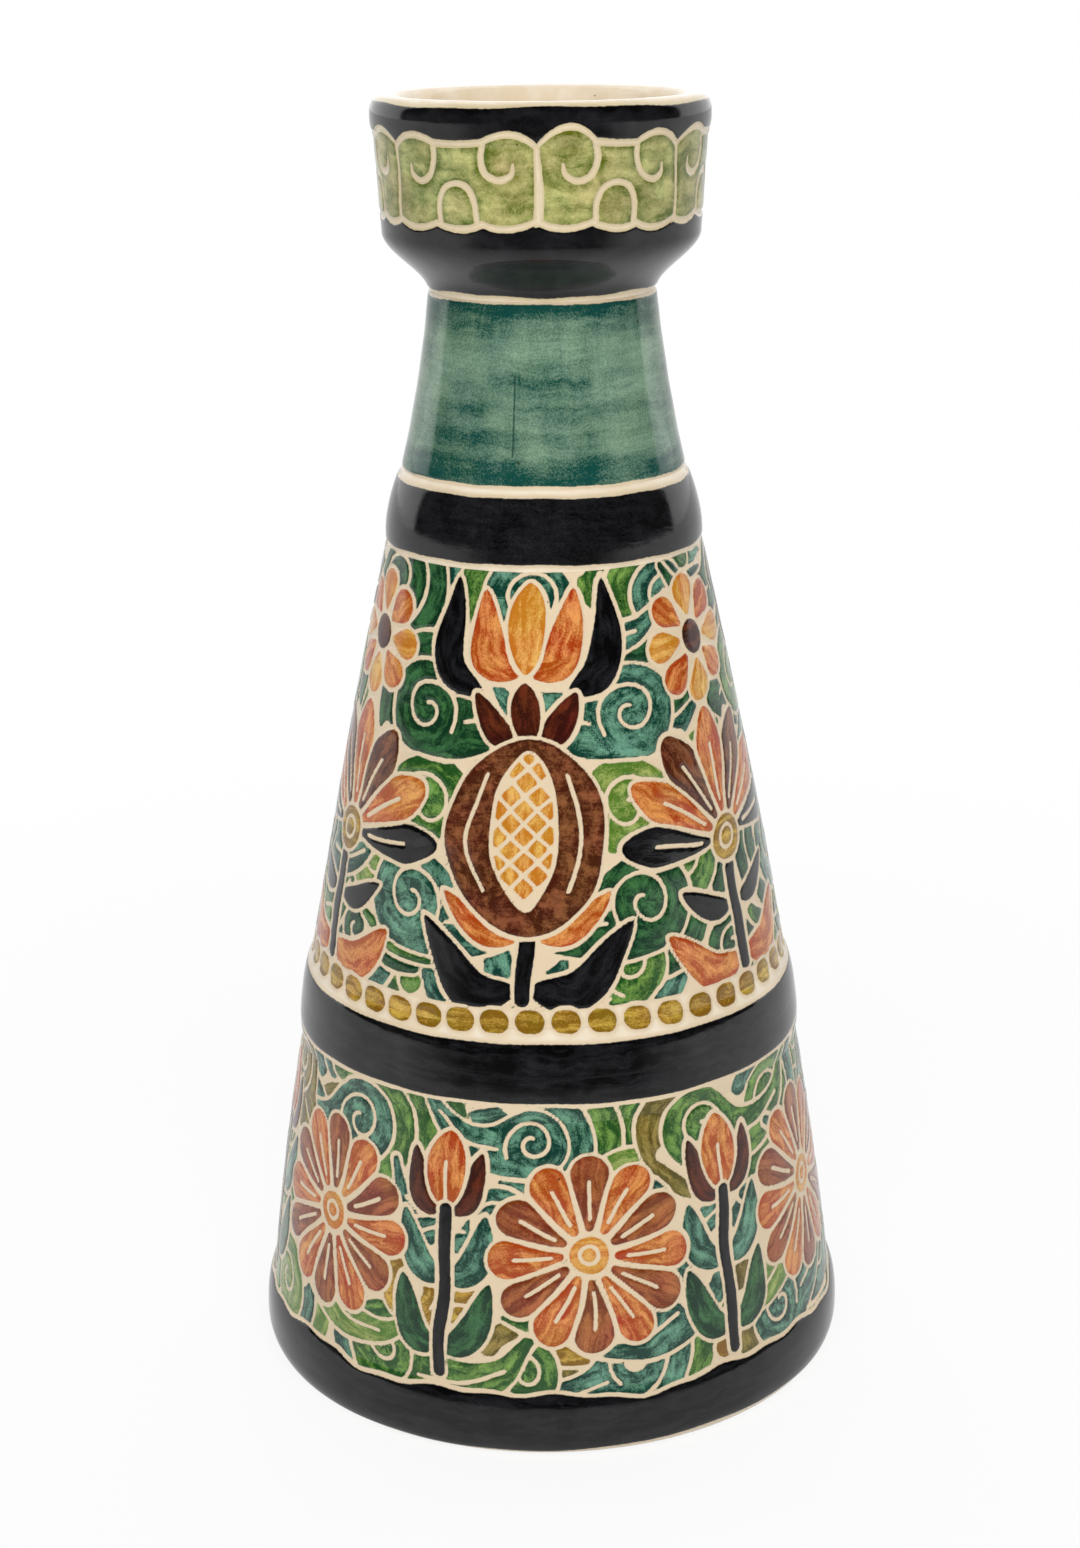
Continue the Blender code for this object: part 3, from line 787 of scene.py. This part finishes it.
# Lower wall: cone with the rosette frieze
lowerWall = dict(
    node="lower_wall", slot="painted_glaze", material=paintedGlaze,
    columns=720, rows=108, strips=3, carve=0.30, cone=True, least=0.60,
)
levels = np.linspace(footTop, lowerTop, lowerWall["rows"])
radii = bowed(levels, footTop, lowerTop, outline["lowerFoot"], outline["lowerTop"], outline["lowerBelly"])
rest = [
    (outline["lowerTop"] - seat, lowerTop + lap),
    (outline["lowerSeam"] - seat, lowerSeam),
    (outline["lowerSeam"] - wall, lowerSeam),
    (outline["lowerTop"] - wall, lowerTop),
    (outline["lowerFoot"] - wall, footTop),
    (outline["lowerFoot"] - wall, floorLedge),
    (footSeat, floorLedge),
    (footSeat, footTop - lap),
]
turnPiece("lowerWallPainted", levels, radii, rest, lowerWall, paintLower)
lowerSlant = np.hypot(np.diff(radii), np.diff(levels)).sum()

# Middle wall: taller cone with the plant frieze
middleWall = dict(
    node="middle_wall", slot="painted_glaze", material=paintedGlaze,
    columns=528, rows=172, strips=2, carve=0.32, cone=True, least=0.60,
)
levels = np.linspace(middleFoot, middleTop, middleWall["rows"])
radii = bowed(
    levels, middleFoot, middleTop, outline["middleFoot"], outline["middleTop"], outline["middleBelly"]
)
rest = [
    (outline["middleTop"] - seat, middleTop + lap),
    (outline["upperSeam"] - seat, upperSeam),
    (outline["upperSeam"] - wall, upperSeam),
    (outline["middleTop"] - wall, middleTop),
    (outline["middleFoot"] - wall, middleFoot),
    (outline["lowerSeam"] - wall, lowerSeam),
    (outline["lowerSeam"] - seat, lowerSeam),
    (outline["middleFoot"] - seat, middleFoot - lap),
]
turnPiece("middleWallPainted", levels, radii, rest, middleWall, paintMiddle)
middleSlant = np.hypot(np.diff(radii), np.diff(levels)).sum()

# Lower collar: raised black band over the seam, with the friezes running on to it from both sides
lowerCollar = dict(
    node="lower_collar", slot="black_glaze", material=paintedGlaze,
    columns=480, rows=44, strips=6, carve=0.22, least=0.60, black=(84.1, 97.7),
)
levels = np.linspace(lowerTop, middleFoot, lowerCollar["rows"])
radii = bowed(
    levels, lowerTop, middleFoot, outline["lowerTop"], outline["middleFoot"],
    outline["lowerCrown"], outline["crownPower"],
)
rest = [(outline["middleFoot"] - seat, middleFoot + tuck), (outline["lowerTop"] - seat, lowerTop - tuck)]
lowerCone = dict(length=lowerSlant, low=outline["lowerFoot"], high=outline["lowerTop"])
middleCone = dict(zero=middleFoot, length=middleSlant, low=outline["middleFoot"], high=outline["middleTop"])


def paintLowerCollar(canvas):
    # rows under the seam go on with the lower frieze, and those over it with the middle one
    below = np.flatnonzero(canvas["slant"] < lowerSeam)
    above = np.flatnonzero(canvas["slant"] >= lowerSeam)
    under = dict(lowerCone, zero=lowerTop - lowerSlant)
    paintSeam(canvas, under, paintLower, lowerCollar["black"], below)
    paintSeam(canvas, middleCone, paintMiddle, lowerCollar["black"], above)


turnPiece("lowerCollarGlazed", levels, radii, rest, lowerCollar, paintLowerCollar)

# Upper collar: raised black band between two bare edges
upperCollar = dict(
    node="upper_collar", slot="black_glaze", material=blackGlaze,
    columns=432, rows=40, strips=6, carve=0.22, black=(202.0, 216.2),
)
levels = np.linspace(middleTop, neckFoot, upperCollar["rows"])
radii = bowed(
    levels, middleTop, neckFoot, outline["middleTop"], outline["neckFoot"],
    outline["upperCrown"], outline["crownPower"],
)
rest = [(outline["neckFoot"] - seat, neckFoot + tuck), (outline["middleTop"] - seat, middleTop - tuck)]


def paintUpperCollar(canvas):  # black between two levels
    paintBand(canvas, *upperCollar["black"], "black")


turnPiece("upperCollarGlazed", levels, radii, rest, upperCollar, paintUpperCollar)

# Foot band: swollen black band under the lower frieze
footBand = dict(
    node="foot_band", slot="black_glaze", material=paintedGlaze,
    columns=600, rows=44, heelRows=15, strips=6, carve=0.22, tuck=0.1,
    bare=1.3, wider=1.5, widerTurn=0.95, waves=((0.25, 5, 0, 0), (0.12, 17, 0, 0)),
)
angle = np.linspace(0, math.pi / 2, footBand["heelRows"] + 1)[:-1]
bulgeLevel = bandFoot + outline["bulgeRise"]
heelLevels = bandFoot + outline["bulgeRise"] * (1 - np.cos(angle))
heelRadii = outline["heel"] + (outline["bulge"] - outline["heel"]) * np.sin(angle)
upLevels = np.linspace(bulgeLevel, footTop, footBand["rows"] - footBand["heelRows"])
climbed = (upLevels - bulgeLevel) / (footTop - bulgeLevel)
upRadii = outline["bulge"] - (outline["bulge"] - outline["lowerFoot"]) * climbed ** outline["shoulder"]
rest = [(footSeat + lute, footTop + footBand["tuck"]), (footSeat + lute, bandFoot)]


def paintFootBand(canvas):
    # the frieze runs on to the black, which stops short of the table at a bare edge that is wider on one side
    theta, level = canvas["theta"], canvas["slant"]
    wider = footBand["wider"] * np.clip(np.cos(theta + footBand["widerTurn"]), 0, 1) ** 2
    bare = footBand["bare"] + wider + ripples(footBand["waves"], theta)
    paintSeam(canvas, dict(lowerCone, zero=footTop), paintLower, None, np.arange(level.size))
    canvas["edge"] = np.minimum(canvas["edge"], level - bare)


levels = np.r_[heelLevels, upLevels]
radii = np.r_[heelRadii, upRadii]
turnPiece("footBandGlazed", levels, radii, rest, footBand, paintFootBand)

# Neck: brushed green with a cream line at each end
neck = dict(
    node="neck", slot="teal_glaze", material=seaGlaze, columns=540, rows=90, strips=3, carve=0.16,
    green=(218.7, 257.3), ripple=0.15, scratchTurn=math.radians(257.2), scratch=(225, 242.5),
    scratchHalf=0.17, scratchRadius=28,
)
levels = np.linspace(neckFoot, neckTop, neck["rows"])
radii = bowed(levels, neckFoot, neckTop, outline["neckFoot"], outline["neckTop"], outline["neckWaist"])
rest = [
    (outline["neckTop"] - wall, neckTop),
    (outline["neckFoot"] - wall, neckFoot),
    (outline["upperSeam"] - wall, upperSeam),
    (outline["upperSeam"] - seat, upperSeam),
    (outline["neckFoot"] - seat, neckFoot - lap),
]


def paintNeck(canvas):
    # one brushed colour and a fine upright scratch in it
    paintBand(canvas, *neck["green"], "sea", neck["ripple"])
    level = canvas["slant"]
    beside = np.abs(canvas["theta"] - neck["scratchTurn"]) * neck["scratchRadius"] < neck["scratchHalf"]
    scratch = beside & (level > neck["scratch"][0]) & (level < neck["scratch"][1])
    canvas["pigment"][scratch] = pigmentNames.index("mark")


turnPiece("neckGlazed", levels, radii, rest, neck, paintNeck)

# Cup: flare and upright wall with the panelled border, and throwing rings in the bowl
cup = dict(
    node="cup", slot="green_glaze", material=greenGlaze,
    columns=560, rows=100, bowlRows=48, strips=4, carve=0.30, zero=cupBreak, ring=0.10, ringPitch=3.0,
)
levels = np.linspace(neckTop, cupTop, cup["rows"])
flare = eased(levels, neckTop, cupBreak, outline["neckTop"], outline["cupFoot"])
upright = bowed(levels, cupBreak, cupTop, outline["cupFoot"], outline["cupTop"])
radii = np.where(levels < cupBreak, flare, upright)
inside = np.linspace(cupTop, neckTop, cup["bowlRows"])
bowlFoot, bowlTop = neckTop + outline["bowlLift"], cupBreak + outline["bowlLift"]
bowl = eased(inside, bowlFoot, bowlTop, outline["neckTop"] - wall, outline["cupFoot"] - wall)
bowl += np.clip((inside - bowlTop) / (cupTop - bowlTop), 0, 1) * (outline["cupTop"] - outline["cupFoot"])
bowl += cup["ring"] * np.sin(tau * inside / cup["ringPitch"])
turnPiece("cupPainted", levels, radii, list(zip(bowl, inside)), cup, paintCup)

# Rim roll: black bead and bare cream lip
rimRoll = dict(
    node="rim_roll", slot="black_glaze", material=greenGlaze,
    columns=560, rows=56, beadRows=15, strips=5, carve=0.25, zero=cupBreak, restShare=0.3,
    painted=0.64, bareEdge=-2.0,
)
beadLevel = cupTop + outline["beadRise"]
lowLevels = np.linspace(cupTop, beadLevel, rimRoll["beadRows"] + 1)[:-1]
swell = np.sin(math.pi / 2 * (lowLevels - cupTop) / outline["beadRise"])
lowRadii = outline["cupTop"] + (outline["rim"] - outline["cupTop"]) * swell
sweep = np.linspace(0, math.pi, rimRoll["rows"] - rimRoll["beadRows"])
lipMiddle = (outline["rim"] + outline["cupTop"] - wall) / 2
lipHalf = (outline["rim"] - outline["cupTop"] + wall) / 2
power = 2 / outline["lipSquareness"]
lipRadii = lipMiddle + lipHalf * np.sign(np.cos(sweep)) * np.abs(np.cos(sweep)) ** power
lipLevels = beadLevel + (rimTop - beadLevel) * np.abs(np.sin(sweep)) ** power
levels = np.r_[lowLevels, lipLevels]
radii = np.r_[lowRadii, lipRadii]


def paintRim(canvas):
    # the border's black runs on over a share of the rows, and those on the inner side of the lip stay bare
    paintCup(canvas)
    edge = canvas["edge"]
    past = np.arange(edge.size) >= int(rimRoll["painted"] * edge.size)
    edge[past] = np.minimum(edge[past], rimRoll["bareEdge"])


turnPiece("rimRollPainted", levels, radii, [(outline["cupTop"] - wall, cupTop)], rimRoll, paintRim)


# Floor disc and foot ring, plain turned pieces under and inside the wall
def plainSurface(name, s):
    # even surface with soft clouds of a deeper tone and fine pores
    material, tree = newTree(name)
    spot = put(tree, "TexCoord", out="Object")
    cloud = put(tree, "TexNoise", {"Vector": spot, "Scale": perMetre(s["cloud"]), "Detail": 5})
    pore = put(tree, "TexNoise", {"Vector": spot, "Scale": perMetre(s["pore"]), "Detail": 3})
    share = put(tree, "MapRange", {"Value": cloud, "From Min": 0.35, "From Max": 0.65})
    tones = {0: share, 6: rgba(s["pale"]), 7: rgba(s["deep"])}
    colour = put(tree, "Mix", tones, 2, data_type="RGBA")
    bump = put(tree, "Bump", {"Height": pore, "Strength": s["bump"], "Distance": bumpDepth["plain"] * mm})
    surface = put(tree, "BsdfPrincipled", {
        "Base Color": colour, "Normal": bump, "Roughness": s["rough"],
        "Coat Weight": s["coat"], "Coat Roughness": s["coatRough"],
    })
    put(tree, "OutputMaterial", {"Surface": surface}, None)
    return material


def plainPiece(name, section, settings):
    # section of (radius, level) points turned round the axis; one that starts and ends on the axis is capped
    columns = settings["columns"]
    theta = np.linspace(0, tau, columns, endpoint=False)
    section = np.asarray(section, float)
    capped = section[0, 0] == 0
    rows = section[1:-1] if capped else section
    count = len(rows)
    ring = [rows[:, :1] * np.cos(theta), rows[:, :1] * np.sin(theta), rows[:, 1:] + 0 * theta]
    verts = np.stack(ring, -1).reshape(-1, 3)
    faces = ringFaces(count - capped, count, columns).tolist()
    if capped:
        first = np.arange(columns)
        second = (first + 1) % columns
        last = (count - 1) * columns
        foot, top = np.full(columns, len(verts)), np.full(columns, len(verts) + 1)
        verts = np.vstack([verts, (0, 0, section[0, 1]), (0, 0, section[-1, 1])])
        faces += np.column_stack([second, first, foot]).tolist()
        faces += np.column_stack([last + first, last + second, top]).tolist()
    mesh = bpy.data.meshes.new(name)
    mesh.from_pydata((verts * mm).tolist(), [], faces)
    mesh.shade_smooth()
    mesh.set_sharp_from_angle(angle=math.radians(creases["plain"]))
    placePiece(name, mesh, settings)


creamGlaze = plainSurface("cream glaze", dict(  # glassy, with soft clouds
    pale="#EFE3C8", deep="#E2D0AA", cloud=16.7, pore=1.1, bump=0.15, rough=0.22, coat=0.5, coatRough=0.08,
))
bareClay = plainSurface("bare earthenware", dict(  # dry and matt, with open pores
    pale="#D9BB93", deep="#B98F63", cloud=6.2, pore=0.45, bump=0.5, rough=0.85, coat=0.0, coatRough=0.08,
))
floorDisc = dict(node="floor_disc", slot="cream_glaze", material=creamGlaze, columns=180, ease=0.5)
floorFoot, floorTop = nodeSpan("floor_disc")
padRadius = outline["lowerFoot"] - wall - lute
section = [
    (0, floorFoot),
    (footSeat - floorDisc["ease"], floorFoot),
    (footSeat, floorFoot + floorDisc["ease"]),
    (footSeat, floorLedge - lute),
    (padRadius, floorLedge - lute),
    (padRadius, floorTop),
    (0, floorTop),
]
plainPiece("floorDiscGlazed", section, floorDisc)
footRing = dict(node="foot_ring", slot="bare_clay", material=bareClay, columns=240, width=9.0, ease=0.6)
ringFoot, ringTop = nodeSpan("foot_ring")
ringInside = footSeat - footRing["width"]
section = [
    (ringInside + footRing["ease"], ringFoot),
    (footSeat - footRing["ease"], ringFoot),
    (footSeat - footRing["ease"] / 3, ringFoot + footRing["ease"] / 3),
    (footSeat, ringFoot + footRing["ease"]),
    (footSeat, ringTop),
    (ringInside, ringTop),
    (ringInside, ringFoot + footRing["ease"]),
]
plainPiece("footRingBare", section, footRing)

# Studio: white floor, a surround that is white behind and dark in front, and one broad lamp above
studio = dict(
    floor=12.0, keep=0.12, keepNear=0.08, keepFar=0.50,  # how much of the shadow stays, and how far out
    mirrorNear=0.06, mirrorFar=0.70, floorNear=0.70, floorFront=0.10,  # the floor as gloss shows it in front
    frontEnd=-0.80, sideStart=-0.45, floorSide=0.85,  # and beside, where -1 is in front and 0 beside
    frontTo=0.26, backFrom=0.33, front=0.05, back=1.3,  # the surround by depth
    lampSize=1.8, lampPower=37.0, lampPlace=(0.0, -1.45, 1.45), lampAim=(0.0, 0.0, 0.14),
)
half = studio["floor"]
corners = [(-half, -half, 0), (half, -half, 0), (half, half, 0), (-half, half, 0)]
floorMesh = bpy.data.meshes.new("studioFloor")
floorMesh.from_pydata(corners, [], [(0, 1, 2, 3)])
floorPiece = bpy.data.objects.new("studioFloor", floorMesh)
bpy.context.scene.collection.objects.link(floorPiece)
floorPaint, tree = newTree("white studio floor")  # matt paint that keeps part of the shadow near the vase
path = put(tree, "LightPath", out=None).outputs
spot = put(tree, "TexCoord", out="Object")
away = put(tree, "VectorMath", {0: spot}, "Value", operation="LENGTH")
depth = put(tree, "SeparateXYZ", {0: spot}, "Y")
plain = put(tree, "MapRange", {
    "Value": away, "From Min": studio["keepNear"], "From Max": studio["keepFar"],
    "To Min": 1 - studio["keep"], "To Max": 1.0,
})
seen = put(tree, "Math", {0: path["Is Camera Ray"], 1: path["Is Glossy Ray"]}, operation="ADD")
shown = put(tree, "Math", {0: seen, 1: path["Is Transmission Ray"]}, operation="ADD")
share = put(tree, "Math", {0: shown, 1: plain}, operation="MULTIPLY", use_clamp=True)
ahead = put(tree, "MapRange", {
    "Value": away, "From Min": studio["mirrorNear"], "From Max": studio["mirrorFar"],
    "To Min": studio["floorNear"], "To Max": studio["floorFront"],
}, interpolation_type="SMOOTHSTEP")
facing = put(tree, "Math", {0: depth, 1: away}, operation="DIVIDE")
beside = put(tree, "MapRange", {
    "Value": facing, "From Min": studio["frontEnd"], "From Max": studio["sideStart"],
})
mirror = put(tree, "Mix", {0: beside, 2: ahead, 3: studio["floorSide"]})
bright = put(tree, "Mix", {0: path["Is Glossy Ray"], 2: 1.0, 3: mirror})
matt = put(tree, "BsdfDiffuse", {"Color": rgba("#F4F4F4")})
glow = put(tree, "Emission", {"Color": rgba("#FFFFFF"), "Strength": bright})
both = put(tree, "MixShader", {0: share, 1: matt, 2: glow})
put(tree, "OutputMaterial", {"Surface": both}, None)
floorMesh.materials.append(floorPaint)

scene = bpy.context.scene
world = scene.world or bpy.data.worlds.new("studio")
scene.world = world
world.use_nodes = True
tree = world.node_tree
tree.nodes.clear()
way = put(tree, "TexCoord", out="Generated")
depth = put(tree, "SeparateXYZ", {0: way}, "Y")
level = put(tree, "MapRange", {
    "Value": depth, "From Min": studio["frontTo"], "From Max": studio["backFrom"],
    "To Min": studio["front"], "To Max": studio["back"],
})
seen = put(tree, "LightPath", out="Is Camera Ray")
strength = put(tree, "Mix", {0: seen, 2: level, 3: 1.0})
sky = put(tree, "Background", {"Color": rgba("#FFFFFF"), "Strength": strength})
put(tree, "OutputWorld", {"Surface": sky}, None)

lampData = bpy.data.lights.new("softbox", "AREA")
lampData.shape = "SQUARE"
lampData.size = studio["lampSize"]
lampData.energy = studio["lampPower"]
lamp = bpy.data.objects.new("softbox", lampData)
aim = (Vector(studio["lampAim"]) - Vector(studio["lampPlace"])).to_track_quat("-Z", "Y")
lamp.matrix_world = Matrix.Translation(studio["lampPlace"]) @ aim.to_matrix().to_4x4()
lamp.visible_glossy = False
scene.collection.objects.link(lamp)
print("studio ready")

# Camera at the photo's angle
view = dict(
    lens=60.155, sensor=36.0, place=(0.0, -0.58926, 0.33181), pitch=17.802, roll=-0.5426, shift=-0.00427,
)
cameraData = bpy.data.cameras.new("camera")
cameraData.lens = view["lens"]
cameraData.sensor_width = view["sensor"]
cameraData.shift_x = view["shift"]
camera = bpy.data.objects.new("camera", cameraData)
pitch = Matrix.Rotation(math.radians(90 - view["pitch"]), 4, "X")
roll = Matrix.Rotation(math.radians(view["roll"]), 4, "Z")
camera.matrix_world = Matrix.Translation(view["place"]) @ pitch @ roll
scene.collection.objects.link(camera)
scene.camera = camera
scene.view_settings.view_transform = "Standard"
